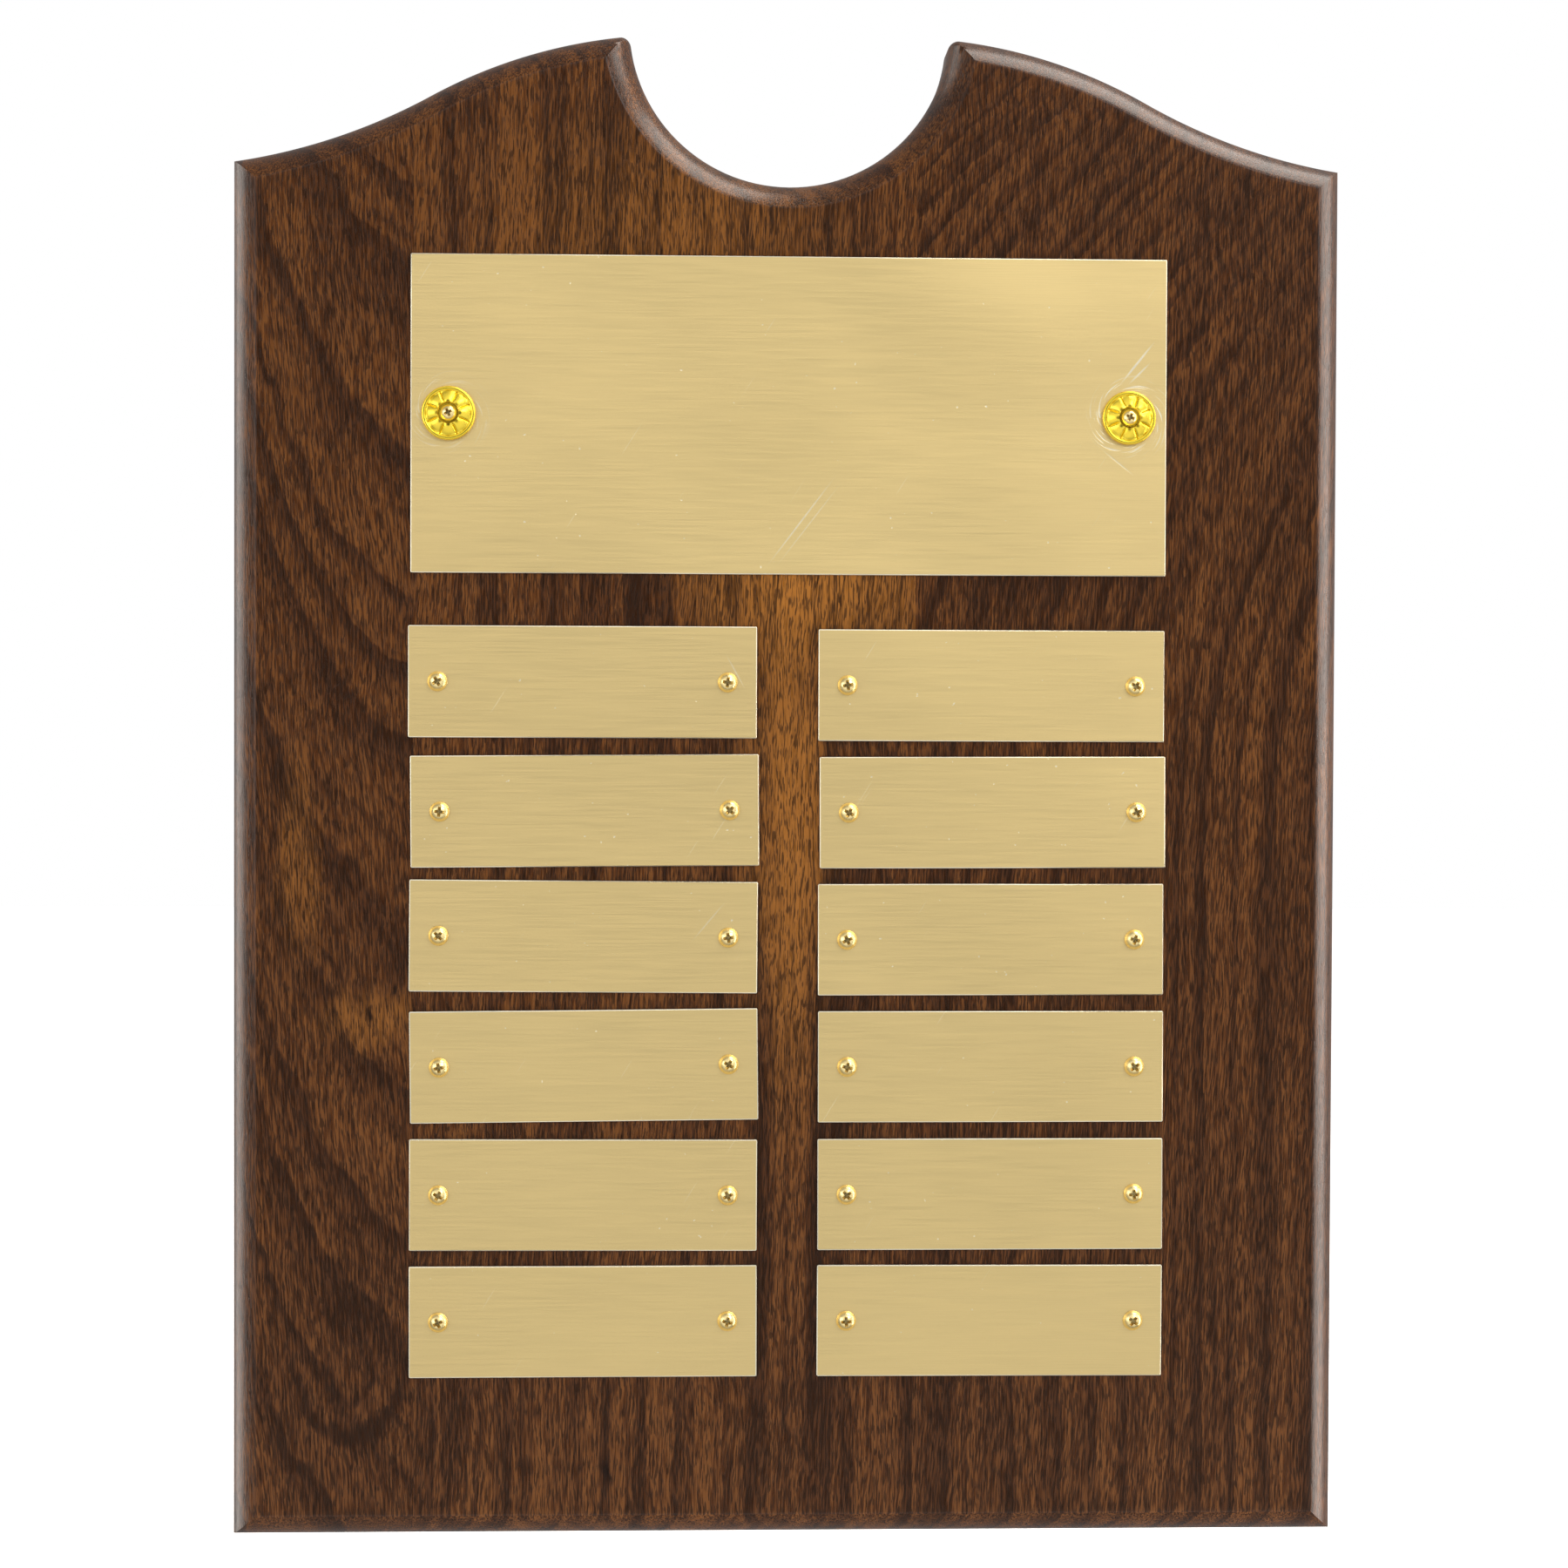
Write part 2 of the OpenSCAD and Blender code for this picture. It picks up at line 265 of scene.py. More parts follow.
def prism(bm, outline, back, front, scale=1):
    """A closed solid over an outline of (x, z) pairs, from y = back to y = front, where
    it has grown by scale."""
    rings = [[bm.verts.new((x * grow, y, z * grow)) for x, z in outline]
             for y, grow in ((back, 1), (front, scale))]
    join_rings(bm, rings)
    bm.faces.new(rings[0])
    bm.faces.new(rings[1])


def join_rings(bm, rings):
    """Walls between closed rings of equal length."""
    for low, high in zip(rings, rings[1:]):
        for i in range(len(low)):
            j = (i + 1) % len(low)
            bm.faces.new((low[i], low[j], high[j], high[i]))


def set_input(modifier, name, value):
    """Sets a node group's input on its modifier, found by name and set by identifier."""
    for item in modifier.node_group.interface.items_tree:
        if item.item_type == "SOCKET" and item.in_out == "INPUT" and item.name == name:
            modifier[item.identifier] = value
            return
    raise KeyError(name)


# ---- materials ----

def new_material(name):
    material = bpy.data.materials.new(name)
    material.use_nodes = True
    material.node_tree.nodes.clear()
    return material, material.node_tree


def in_millimetres(tree):
    """The place on the object, in millimetres."""
    place = add(tree, "ShaderNodeTexCoord", out="Object")
    return add(tree, VECTOR, place, (1000, 1000, 1000), operation="MULTIPLY")


def grains(tree, place, scale, detail=2.0, roughness=0.5, out="Fac"):
    """A noise pattern whose cells are 1 / scale millimetres along each axis."""
    sized = add(tree, VECTOR, place, scale, operation="MULTIPLY")
    return add(tree, NOISE, {"Vector": sized, "Scale": 1.0, "Detail": detail,
                             "Roughness": roughness}, out=out)


def patch(tree, place, centre, size, soft=0.0):
    """1 in the middle of an upright oval on the face, falling to 0 at its rim.
    centre and size are (x, z) in millimetres."""
    moved = add(tree, VECTOR, place, (-centre[0], 0, -centre[1]), operation="ADD")
    sized = add(tree, VECTOR, moved, (1 / size[0], 0, 1 / size[1]), operation="MULTIPLY")
    far = add(tree, VECTOR, sized, operation="LENGTH", out="Value")
    return add(tree, RANGE, far, soft, 1.0, 1.0, 0.0, **SMOOTH)


def pushed(tree, place, scale, reach):
    """place pushed about at random by up to half of reach, in cells of 1 / scale."""
    push = grains(tree, place, scale, out="Color")
    push = add(tree, VECTOR, push, (-0.5, -0.5, -0.5), operation="ADD")
    return add(tree, VECTOR, push, reach, place, operation="MULTIPLY_ADD")


def depth_into_tree(tree, place, slope, sweep, bow):
    """How far a place lies from the bark side, in millimetres. It grows by slope along
    x and z. sweep is (reach, x, fade): a rise towards the left edge, which makes nested
    flames. bow is (strength, z): lines bend to the right above z."""
    part = add(tree, "ShaderNodeSeparateXYZ", place, out=None).outputs
    far = add(tree, MATH, part["Z"], slope[1], operation="MULTIPLY")
    far = add(tree, MATH, part["X"], slope[0], far, operation="MULTIPLY_ADD")
    far = add(tree, MATH, part["Y"], DEPTH_SLOPE, far, operation="MULTIPLY_ADD")
    fade = add(tree, MATH, sweep[1], part["X"], operation="SUBTRACT")
    fade = add(tree, MATH, fade, sweep[2], operation="DIVIDE")
    fade = add(tree, MATH, fade, operation="EXPONENT")
    far = add(tree, MATH, fade, -sweep[0], far, operation="MULTIPLY_ADD")
    above = add(tree, MATH, part["Z"], bow[1], operation="SUBTRACT")
    above = add(tree, MATH, above, 0.0, operation="MAXIMUM")
    above = add(tree, MATH, above, above, operation="MULTIPLY")
    return add(tree, MATH, above, -bow[0], far, operation="MULTIPLY_ADD")


def late_wood(tree, far, ring):
    """One dark line to each growth ring: it deepens slowly and then ends sharply."""
    # Some years grow fast and some slowly, so the spacing drifts.
    uneven = add(tree, NOISE, {"W": far, "Scale": 0.4 / ring, "Detail": 1.0,
                               "Roughness": 0.55}, noise_dimensions="1D")
    beat = add(tree, MATH, far, ring, operation="DIVIDE")
    beat = add(tree, MATH, uneven, 2.4, beat, operation="MULTIPLY_ADD")
    beat = add(tree, MATH, beat, operation="FRACT")
    line = add(tree, RANGE, beat, 0.3, LATE_END, **SMOOTH)
    line = add(tree, MATH, line, 2.0, operation="POWER")
    ended = add(tree, RANGE, beat, LATE_END, 1.0, 1.0, 0.0, **SMOOTH)
    return add(tree, MATH, line, ended, operation="MULTIPLY")


def flame_foot(tree, place, drifted, centre, size):
    """1 on the dark line round the lower half of a flame's rounded foot."""
    round_it = patch(tree, drifted, centre, size, 0.8)
    outer = add(tree, RANGE, round_it, 0.0, 0.4, **SMOOTH)
    inner = add(tree, RANGE, round_it, 0.5, 1.0, 1.0, 0.0, **SMOOTH)
    foot = add(tree, MATH, outer, inner, operation="MULTIPLY")
    height = add(tree, "ShaderNodeSeparateXYZ", place, out="Z")
    low = add(tree, RANGE, height, centre[1] - 0.75 * size[1], centre[1] - 0.35 * size[1],
              1.0, 0.0, **SMOOTH)
    return add(tree, MATH, foot, low, operation="MULTIPLY")


def ring_shade(tree, place, along, slope, ring, tone, weights, wave, sweep=(0, 0, 1),
               bow=(0, 0), streaks=(), arcs=()):
    """The tone of the growth rings, stripes and streaks, from dark at 0 to light at 1.
    ring is the spacing of the rings and wave how far they are pushed about, in
    millimetres. weights are those of wide bands, late wood, fine rings and stripes."""
    # Waves 40 mm long push the rings about, then ripples of 9 mm, then 1 mm raggedness.
    drifted = pushed(tree, place, (0.025, 0.025, 0.018), (wave, 0, wave))
    drifted = pushed(tree, drifted, (0.11, 0.11, 0.08), (wave * 0.4, 0, wave * 0.4))
    drifted = pushed(tree, drifted, (0.9, 0.9, 0.3), (1.1, 0, 1.6))
    far = depth_into_tree(tree, drifted, slope, sweep, bow)
    bands = add(tree, NOISE, {"W": far, "Scale": 0.9 / ring, "Detail": 2.0,
                              "Roughness": 0.55}, noise_dimensions="1D")
    late = late_wood(tree, far, ring)
    rings = late_wood(tree, far, ring * FINE_RINGS)
    cloud = grains(tree, drifted, (0.028, 0.028, 0.02))
    broken = add(tree, RANGE, cloud, 0.36, 0.58, 0.35, 1.0, **SMOOTH)
    late = add(tree, MATH, late, broken, operation="MULTIPLY")
    stripes = grains(tree, along, (0.24, 0.24, 0.005), 4.0, 0.62)
    # Bands, stripes and clouds lie round 0.5, and half their weight is taken off again.
    level = tone - 0.5 * (weights[0] + weights[3] + CLOUDS)
    for pattern, weight in ((bands, weights[0]), (late, -weights[1]), (rings, -weights[2]),
                            (stripes, weights[3]), (cloud, CLOUDS)):
        level = add(tree, MATH, pattern, weight, level, operation="MULTIPLY_ADD")
    for centre, size, depth in streaks:
        streak = patch(tree, pushed(tree, place, (0.08, 0.08, 0.03), (5, 0, 5)), centre, size)
        level = add(tree, MATH, streak, -depth, level, operation="MULTIPLY_ADD")
    for centre, size, depth in arcs:
        foot = flame_foot(tree, place, drifted, centre, size)
        level = add(tree, MATH, foot, -depth, level, operation="MULTIPLY_ADD")
    return level


def walnut_board(name, lean, painted_sheen=(), knots=(), **rings):
    """American walnut, sanded and sprayed with satin lacquer. Growth rings cut
    lengthways give flames and stripes, open pores give short dark dashes along the
    grain, and the lacquer gives a soft gloss that greys the steep edges. painted_sheen
    holds ovals of painted sheen, a warm glow of light in the figure, and knots holds
    ovals of dark knots, both on the face, in millimetres."""
    colours = bpy.context.scene.plaque_colours
    material, tree = new_material(name)
    place = in_millimetres(tree)
    # Fibres lean with the board and wander by up to 1.5 mm.
    along = add(tree, "ShaderNodeMapping", {"Vector": place, "Rotation": (0, lean, 0)})
    along = pushed(tree, along, (0.05, 0.05, 0.03), (3.0, 3.0, 0))
    level = ring_shade(tree, place, along, **rings)
    # Fibre bundles are 0.35 mm wide and 5 mm long, drawn coarser than real ones to show.
    fibre = grains(tree, along, (2.9, 2.9, 0.2), 1.0)
    fleck = add(tree, RANGE, fibre, 0.38, 0.62, -0.25, 0.25, **SMOOTH)
    level = add(tree, MATH, level, fleck, operation="ADD")
    wood = add(tree, "ShaderNodeValToRGB", level, out=None)
    dark, light = wood.color_ramp.elements
    dark.color, dark.position = linear(colours.walnut_dark), 0.05
    light.color, light.position = linear(colours.walnut_light), 0.95
    wood.color_ramp.elements.new(0.5).color = linear(colours.walnut_mid)
    colour = wood.outputs["Color"]
    # Painted sheen: a warm honey glow of light in the figure, painted into the colour where the
    # wood is light. It is strongest at the face and fades into the board.
    deep = add(tree, "ShaderNodeSeparateXYZ", place, out="Y")
    deep = add(tree, RANGE, deep, -14, -3, 1.0, 0.2, **SMOOTH)
    clear = add(tree, RANGE, level, -0.1, 0.65, 0.2, 1.0, **SMOOTH)
    for centre, size, share in painted_sheen:
        warm = patch(tree, pushed(tree, place, (0.16, 0.16, 0.02), (14, 0, 14)), centre, size)
        for less in (share, clear, deep):
            warm = add(tree, MATH, warm, less, operation="MULTIPLY")
        colour = add(tree, MIX, {0: warm, 6: colour, 7: linear(colours.walnut_painted_sheen)},
                     **AS_COLOUR)
    # Pores are 0.2 mm wide, drawn at 0.26 mm to show, and 3 mm long.
    pore = grains(tree, along, (3.8, 3.8, 0.36), 1.0)
    pore = add(tree, RANGE, pore, 0.51, 0.59, 0.0, 0.72, **SMOOTH)
    colour = add(tree, MIX, {0: pore, 6: colour, 7: linear(PORE)}, **AS_COLOUR)
    for centre, size in knots:
        ragged = pushed(tree, place, (0.5, 0.5, 0.3), (2.4 * size[0], 0, 1.2 * size[1]))
        for reach, soft, share, shade_hex in (
                ((2.6 * size[0], 2.2 * size[1]), 0.0, 0.35, colours.walnut_dark),
                (size, 0.3, 0.85, KNOT)):
            spot = patch(tree, ragged, centre, reach, soft)
            spot = add(tree, MATH, spot, share, operation="MULTIPLY")
            colour = add(tree, MIX, {0: spot, 6: colour, 7: linear(shade_hex)}, **AS_COLOUR)
    dents = add(tree, MATH, fibre, 0.6, operation="MULTIPLY")
    dents = add(tree, MATH, pore, -1.2, dents, operation="MULTIPLY_ADD")
    bump = add(tree, "ShaderNodeBump",
               {"Height": dents, "Strength": 0.4, "Distance": 0.05 * MM})
    gloss = add(tree, RANGE, fibre, 0.3, 0.7, 0.27, 0.35, **SMOOTH)
    shader = add(tree, "ShaderNodeBsdfPrincipled",
                 {"Base Color": colour, "Roughness": gloss, "IOR": 1.5,
                  "Specular IOR Level": 0.2, "Coat Weight": 0.05, "Coat Roughness": 0.15,
                  "Normal": bump})
    add(tree, "ShaderNodeOutputMaterial", {"Surface": shader}, out=None)
    return material


def scratch(tree, place, start, end, width):
    """1 on a straight scratch from start to end on the face, given as (x, z)."""
    middle = ((start[0] + end[0]) / 2, (start[1] + end[1]) / 2)
    half = hypot(end[0] - start[0], end[1] - start[1]) / 2
    turned = add(tree, "ShaderNodeMapping",
                 {"Vector": place, "Location": (middle[0], 0, middle[1]),
                  "Rotation": (0, -angle_to(start, end), 0)}, vector_type="TEXTURE")
    return patch(tree, turned, (0, 0), (half, width), 0.3)


def scuffs(tree, place, x, z, share):
    """Fine curved scuffs round a rosette, 5 to 9 mm from its middle, where its screw was
    driven home."""
    moved = add(tree, VECTOR, place, (-x, 0, -z), operation="ADD")
    part = add(tree, "ShaderNodeSeparateXYZ", moved, out=None).outputs
    radius = add(tree, MATH, part["Z"], part["Z"], operation="MULTIPLY")
    radius = add(tree, MATH, part["X"], part["X"], radius, operation="MULTIPLY_ADD")
    radius = add(tree, MATH, radius, operation="SQRT")
    round_it = add(tree, MATH, part["Z"], part["X"], operation="ARCTAN2")
    swept = add(tree, MATH, round_it, 1.6, radius, operation="MULTIPLY_ADD")
    polar = add(tree, "ShaderNodeCombineXYZ", swept, round_it)
    lines = grains(tree, polar, (2.8, 1.1, 1.0), 1.0)
    clear = add(tree, RANGE, radius, 5.2, 5.9, **SMOOTH)
    near = add(tree, RANGE, radius, 6.2, 9.5, 1.0, 0.0, **SMOOTH)
    near = add(tree, MATH, clear, near, operation="MULTIPLY")
    lines = add(tree, RANGE, lines, 0.56, 0.68, 0.0, share, **SMOOTH)
    return add(tree, MATH, near, lines, operation="MULTIPLY")


def brushed_brass():
    """Sheet brass, rolled, brushed sideways and lacquered. Fine level scratches spread
    the gloss up and down, and the sheet isn't quite flat, so its tone drifts softly."""
    material, tree = new_material("Sheet brass, brushed")
    place = in_millimetres(tree)
    # Brush marks are 0.05 mm apart, drawn at about 0.15 mm to show, and 12 mm long.
    brush = grains(tree, place, (0.085, 1.0, 7.5), 1.0)
    wander = grains(tree, place, (0.014, 1.0, 0.018), 1.0)
    base = linear(bpy.context.scene.plaque_colours.sheet_brass)
    darker = [c * BRUSH_DIM for c in base[:3]] + [1]
    share = add(tree, RANGE, brush, 0.3, 0.7, **SMOOTH)
    colour = add(tree, MIX, {0: share, 6: darker, 7: base}, **AS_COLOUR)
    # A few thin scratches from handling, and tiny specks painted near white: painted glints.
    slant = add(tree, "ShaderNodeMapping", {"Vector": place, "Rotation": (0, radians(58), 0)})
    stray = grains(tree, slant, (0.07, 1.0, 3.0), 1.0)
    marks = [add(tree, RANGE, stray, 0.78, 0.84, 0.0, 0.4, **SMOOTH)]
    speck_glints = grains(tree, place, (1.1, 1.0, 1.1), 1.0)
    marks.append(add(tree, RANGE, speck_glints, 0.785, 0.82, 0.0, 0.7, **SMOOTH))
    for start, end, width, share in (
            ((-5.5, 43.5), (10, 64), 0.2, 0.6), ((-3.6, 43.5), (11.4, 63), 0.15, 0.4),
            ((66, 81), (74, 91), 0.3, 0.8), ((68, 81.5), (73, 86.5), 0.25, 0.7),
            ((62.5, 69), (70, 63), 0.2, 0.5), ((-20, -31.5), (-12, -22), 0.18, 0.4),
            ((-13, 27.5), (-8.5, 19.5), 0.18, 0.45)):
        line = scratch(tree, place, start, end, width)
        marks.append(add(tree, MATH, line, share, operation="MULTIPLY"))
    for (x, z, _), share in zip(rosette_places(), (0.35, 0.85)):
        marks.append(scuffs(tree, place, x / MM, z / MM, share))
    # Painted highlight: the shear-cut, eased edge faces are painted near white, a glint of light
    # along each plate's edge.
    edge = add(tree, "ShaderNodeAttribute", attribute_name="sheared", out="Fac")
    marks.append(add(tree, MATH, edge, 0.85, operation="MULTIPLY"))
    # All these marks are painted near white: the scratches and scuffs are wear, the specks and
    # edge faces painted glints of light.
    wear_and_glint = marks[0]
    for mark in marks[1:]:
        wear_and_glint = add(tree, MATH, wear_and_glint, mark, operation="MAXIMUM")
    colour = add(tree, MIX, {0: wear_and_glint, 6: colour, 7: linear(WEAR_AND_GLINT)}, **AS_COLOUR)
    heights = add(tree, MATH, wander, 2.6, operation="MULTIPLY")
    heights = add(tree, MATH, brush, 0.006, heights, operation="MULTIPLY_ADD")
    heights = add(tree, MATH, wear_and_glint, -0.02, heights, operation="MULTIPLY_ADD")
    bump = add(tree, "ShaderNodeBump", {"Height": heights, "Strength": 1.0, "Distance": MM})
    gloss = add(tree, RANGE, brush, 0.2, 0.8, 0.54, 0.46, **SMOOTH)
    shader = add(tree, "ShaderNodeBsdfPrincipled",
                 {"Base Color": colour, "Metallic": 1.0, "Roughness": gloss, "Normal": bump})
    add(tree, "ShaderNodeOutputMaterial", {"Surface": shader}, out=None)
    return material


def bright_brass(name, colour_hex, roughness, crease_shade_hex):
    """Solid brass, pressed or turned and then polished: a clear gloss with tiny
    polishing marks, and painted shade: creases and recesses darkened towards brown
    where ambient occlusion finds them."""
    material, tree = new_material(name)
    place = in_millimetres(tree)
    smear = grains(tree, place, (1.1, 1.1, 1.1), 3.0)
    marks = grains(tree, place, (7.0, 7.0, 7.0))
    # Painted shade: where ambient occlusion finds creases and recesses, the colour is darkened
    # towards brown.
    gap = add(tree, "ShaderNodeAmbientOcclusion", {"Distance": 0.5 * MM}, samples=6, out="AO")
    crease_shade = add(tree, RANGE, gap, 0.2, 0.65, 0.8, 0.0, **SMOOTH)
    colour = add(tree, MIX, {0: crease_shade, 6: linear(colour_hex), 7: linear(crease_shade_hex)},
                 **AS_COLOUR)
    gloss = add(tree, RANGE, smear, 0.3, 0.7, roughness, roughness + 0.1, **SMOOTH)
    bump = add(tree, "ShaderNodeBump",
               {"Height": marks, "Strength": 0.25, "Distance": 0.02 * MM})
    shader = add(tree, "ShaderNodeBsdfPrincipled",
                 {"Base Color": colour, "Metallic": 1.0, "Roughness": gloss, "Normal": bump})
    add(tree, "ShaderNodeOutputMaterial", {"Surface": shader}, out=None)
    return material


# ---- the panel's outline and edge ----

def crossing(first, first_r, second, second_r):
    """The right-hand, upper crossing of two circles."""
    dx, dz = second[0] - first[0], second[1] - first[1]
    gap = hypot(dx, dz)
    along = (first_r ** 2 - second_r ** 2 + gap ** 2) / (2 * gap)
    across = sqrt(first_r ** 2 - along ** 2)
    points = [(first[0] + (dx * along + s * dz * across) / gap,
               first[1] + (dz * along - s * dx * across) / gap) for s in (-1, 1)]
    return max(points, key=lambda p: p[1])


def angle_to(centre, point):
    return atan2(point[1] - centre[1], point[0] - centre[0])


def panel_circles(sizes):
    """The centres of the notch, swell, hollow and horn circles, as (x, z) pairs."""
    slope = sizes.turn_slope
    swell = (sizes.turn_x - sizes.swell_r * sin(slope), -sizes.swell_r * cos(slope))
    hollow = (sizes.turn_x + sizes.hollow_r * sin(slope), sizes.hollow_r * cos(slope))
    notch = (0, sizes.notch_rise)
    horn = crossing(notch, sizes.notch_r + sizes.horn_r, swell, sizes.swell_r - sizes.horn_r)
    lift = PANEL_HIGH.z - sizes.horn_r - horn[1]
    return [(x, z + lift) for x, z in (notch, swell, hollow, horn)]


def outline_at(inset, sizes):
    """The panel's outline moved inwards, from the notch's lowest point round the right."""
    notch, swell, hollow, horn = panel_circles(sizes)
    side, foot = PANEL_HIGH.x - inset, PANEL_LOW.z + inset
    turn = radians(90) - sizes.turn_slope
    notch_r, swell_r = sizes.notch_r + inset, sizes.swell_r - inset
    hollow_r = sizes.hollow_r + inset
    if inset < sizes.horn_r:
        notch_end, swell_end = angle_to(notch, horn), angle_to(swell, horn)
        tip = arc(horn, sizes.horn_r - inset, notch_end + pi, swell_end, 8)
    else:
        point = crossing(notch, notch_r, swell, swell_r)
        notch_end, swell_end = angle_to(notch, point), angle_to(swell, point)
        tip = [point] * 9
    corner = -acos((side - hollow[0]) / hollow_r)
    half = arc(notch, notch_r, -pi / 2, notch_end, 28)[:-1] + tip
    half += arc(swell, swell_r, swell_end, turn, 30)[1:]
    half += arc(hollow, hollow_r, turn - pi, corner, 26)[1:]
    half += [(side, z) for z in spread(half[-1][1], foot, 6)[1:]]
    return half + [(-x, z) for x, z in half[:0:-1]]


def edge_profile(sizes):
    """The routed edge as (inset, depth from the back): back arris to face."""
    ease = 0.3 * MM
    r, base = sizes.edge_r, PANEL_T - sizes.edge_depth
    turns = spread(0, asin(sizes.edge_depth / r), 14)
    lip = r - sqrt(r * r - sizes.edge_depth ** 2)
    rows = [(4 * ease, 0), (ease, 0), (0.3 * ease, 0.3 * ease), (0, ease), (0, base / 2)]
    rows += [(r - r * cos(t), base + r * sin(t)) for t in turns[:-1]]
    rows += [(lip - 0.5 * ease, PANEL_T - 0.4 * ease), (lip + 0.1 * ease, PANEL_T - 0.1 * ease),
             (lip + ease, PANEL_T), (lip + 4 * ease, PANEL_T)]
    return rows


def panel_solid(sizes):
    """The whole panel before it is parted into boards."""
    bm = bmesh.new()
    rings = [[bm.verts.new((x, -depth, z)) for x, z in outline_at(inset, sizes)]
             for inset, depth in edge_profile(sizes)]
    join_rings(bm, rings)
    bm.faces.new(rings[0])
    bm.faces.new(rings[-1])
    bmesh.ops.remove_doubles(bm, verts=bm.verts[:], dist=1e-7)
    bmesh.ops.dissolve_degenerate(bm, edges=bm.edges[:], dist=1e-7)
    return bm


def keep_between(bm, low, high):
    """Saws the panel at the glue lines and closes the sawn faces."""
    for x, keep_right in ((low, True), (high, False)):
        if x is None:
            continue
        everything = bm.verts[:] + bm.edges[:] + bm.faces[:]
        bmesh.ops.bisect_plane(bm, geom=everything, dist=1e-8, plane_co=(x, 0, 0),
                               plane_no=(1, 0, 0), clear_inner=keep_right,
                               clear_outer=not keep_right)
        edges = [e for e in bm.edges if e.is_boundary]
        bmesh.ops.holes_fill(bm, edges=edges, sides=0)


def round_outline(x, z, r, steps=20):
    return arc((x, z), r, 0, 2 * pi, steps)[:-1]


def slot_outline(sizes, width):
    low, high = sizes.keyhole_z, sizes.keyhole_z + sizes.keyhole_travel
    return arc((0, high), width / 2, 0, pi, 16) + arc((0, low), width / 2, pi, 2 * pi, 16)


def hole_cutters(sizes, brass):
    """Cutters for the pilot holes and for the three cuts of the keyhole."""
    bm = bmesh.new()
    end = -PANEL_T + brass.shank_l - SHEET_T
    for places, back in ((screw_places(brass, "left"), end), (screw_places(brass, "right"), end),
                         (rosette_places(), end - MM)):
        for x, z, _ in places:
            prism(bm, round_outline(x, z, brass.shank_d / 2), back, -PANEL_T - MM)
    cutters = [new_piece("pilot_cutter", bm)]
    deep = sizes.lip_t + sizes.channel_t
    for name, outline, back, front in (
            ("entry_cutter", round_outline(0, sizes.keyhole_z, sizes.keyhole_d / 2, 32),
             MM, -deep),
            ("neck_cutter", slot_outline(sizes, sizes.keyhole_neck), MM, -sizes.lip_t - MM),
            ("channel_cutter", slot_outline(sizes, sizes.keyhole_d), -sizes.lip_t, -deep)):
        bm = bmesh.new()
        prism(bm, outline, back, front)
        cutters.append(new_piece(name, bm))
    return cutters


# ---- plates, screws and rosettes ----

def middle_of(node):
    low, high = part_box(node)
    return (low.x + high.x) / 2, (low.z + high.z) / 2


def screw_places(brass, column):
    """(x, z, turn of the cross) of each screw in a column of name plates."""
    turns = brass.left_turns if column == "left" else brass.right_turns
    places = []
    for row in range(ROWS):
        x, z = middle_of(f"name_plate_{column}_{row + 1}")
        for end in (-1, 1):
            reach = end * (brass.name_w / 2 - brass.screw_inset)
            cross = radians(37 * row + 19 * end + (11 if column == "right" else -11))
            places.append((x + reach * cos(turns[row]), z + reach * sin(turns[row]), cross))
    return places


def rosette_places():
    return [middle_of(f"rosette_{side}") + (turn,)
            for side, turn in (("left", radians(-25)), ("right", radians(25)))]


def plate_outline(w, h, r):
    points = []
    for i, (sx, sz) in enumerate(((1, 1), (-1, 1), (-1, -1), (1, -1))):
        centre = (sx * (w / 2 - r), sz * (h / 2 - r))
        points += arc(centre, r, i * pi / 2, (i + 1) * pi / 2, 5)
    return points


def plate_piece(name, middle, size, turn, holes, brass):
    """A brass plate: shear-cut sheet with an eased front edge and its screw holes."""
    ease = 0.14 * MM
    bm = bmesh.new()
    rows = [(ease, 0), (0, ease), (0, SHEET_T - 1.4 * ease), (0.4 * ease, SHEET_T - 0.4 * ease),
            (1.4 * ease, SHEET_T)]
    rings = []
    for inset, lift in rows:
        corner = max(brass.corner_r - inset, 0.05 * MM)
        outline = plate_outline(size[0] - 2 * inset, size[1] - 2 * inset, corner)
        rings.append([bm.verts.new((x, -lift, z)) for x, z in outline])
    join_rings(bm, rings)
    caps = {0: rings[0], 1: rings[-1]}
    holes_rings = []
    for x in holes:
        outline = round_outline(x, 0, (brass.shank_d + 0.2 * MM) / 2)
        pair = [[bm.verts.new((px, -lift, pz)) for px, pz in outline] for lift in (0, SHEET_T)]
        join_rings(bm, pair)
        holes_rings.append(pair)
    for which, rim in caps.items():
        edges = []
        for loop in [rim] + [pair[which] for pair in holes_rings]:
            for a, b in zip(loop, loop[1:] + loop[:1]):
                edges.append(bm.edges.get((a, b)))
        bmesh.ops.triangle_fill(bm, use_beauty=True, use_dissolve=False, edges=edges)
    place = Matrix.Translation((middle[0], -PANEL_T, middle[1])) @ Matrix.Rotation(-turn, 4, "Y")
    bmesh.ops.transform(bm, matrix=place, verts=bm.verts[:])
    piece = new_piece(name, bm)
    # Marks the edge faces, which get a painted highlight in the brass material.
    sheared = piece.data.attributes.new("sheared", "FLOAT", "FACE")
    sheared.data.foreach_set("value", [float(abs(face.normal.y) < 0.98)
                                       for face in piece.data.polygons])
    shade(piece, 20)
    return piece


def lathe(bm, profile, steps):
    """Turns (radius, height) pairs about the Y axis; height runs towards -Y."""
    rings = []
    for radius, height in profile:
        outline = round_outline(0, 0, radius, steps) if radius else [(0, 0)]
        rings.append([bm.verts.new((x, -height, z)) for x, z in outline])
    for low, high in zip(rings, rings[1:]):
        for i in range(steps):
            j = (i + 1) % steps
            corners = [low[i % len(low)], low[j % len(low)], high[j % len(high)],
                       high[i % len(high)]]
            bm.faces.new(list(dict.fromkeys(corners)))


